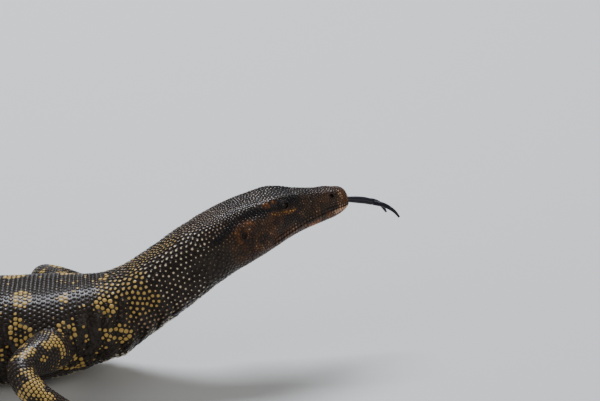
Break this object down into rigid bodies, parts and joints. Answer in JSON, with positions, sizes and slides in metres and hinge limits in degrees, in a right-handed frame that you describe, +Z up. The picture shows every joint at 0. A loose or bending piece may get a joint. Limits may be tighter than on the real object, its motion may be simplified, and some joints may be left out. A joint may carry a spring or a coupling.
{
  "type": "monitor lizard",
  "caption": "Life-size still model of a water monitor resting on its belly with its head raised and its forked tongue out.",
  "frame": {"origin": "middle of the outline, on the floor that the belly, tail and feet rest on", "axes": "+X the way the body faces, +Y to its left, +Z up"},
  "size_m": [1.5832, 0.359, 0.1477],
  "materials": {
    "skin_head": "satin",
    "skin_jaw": "satin",
    "skin_back": "satin",
    "skin_leg": "satin",
    "eye": "gloss",
    "tongue": "satin"
  },
  "bodies": {
    "root": {"head": "skin_head", "lower_jaw": "skin_jaw", "eye_left": "eye", "eye_right": "eye", "tongue": "tongue", "neck": "skin_head", "torso": "skin_back", "tail_1": "skin_back", "tail_2": "skin_back", "tail_3": "skin_back", "tail_4": "skin_back", "tail_5": "skin_back", "upper_arm_left": "skin_leg", "forearm_left": "skin_leg", "hand_left": "skin_leg", "upper_arm_right": "skin_leg", "forearm_right": "skin_leg", "hand_right": "skin_leg", "thigh_left": "skin_leg", "shank_left": "skin_leg", "foot_left": "skin_leg", "thigh_right": "skin_leg", "shank_right": "skin_leg", "foot_right": "skin_leg"}
  },
  "joints": []
}
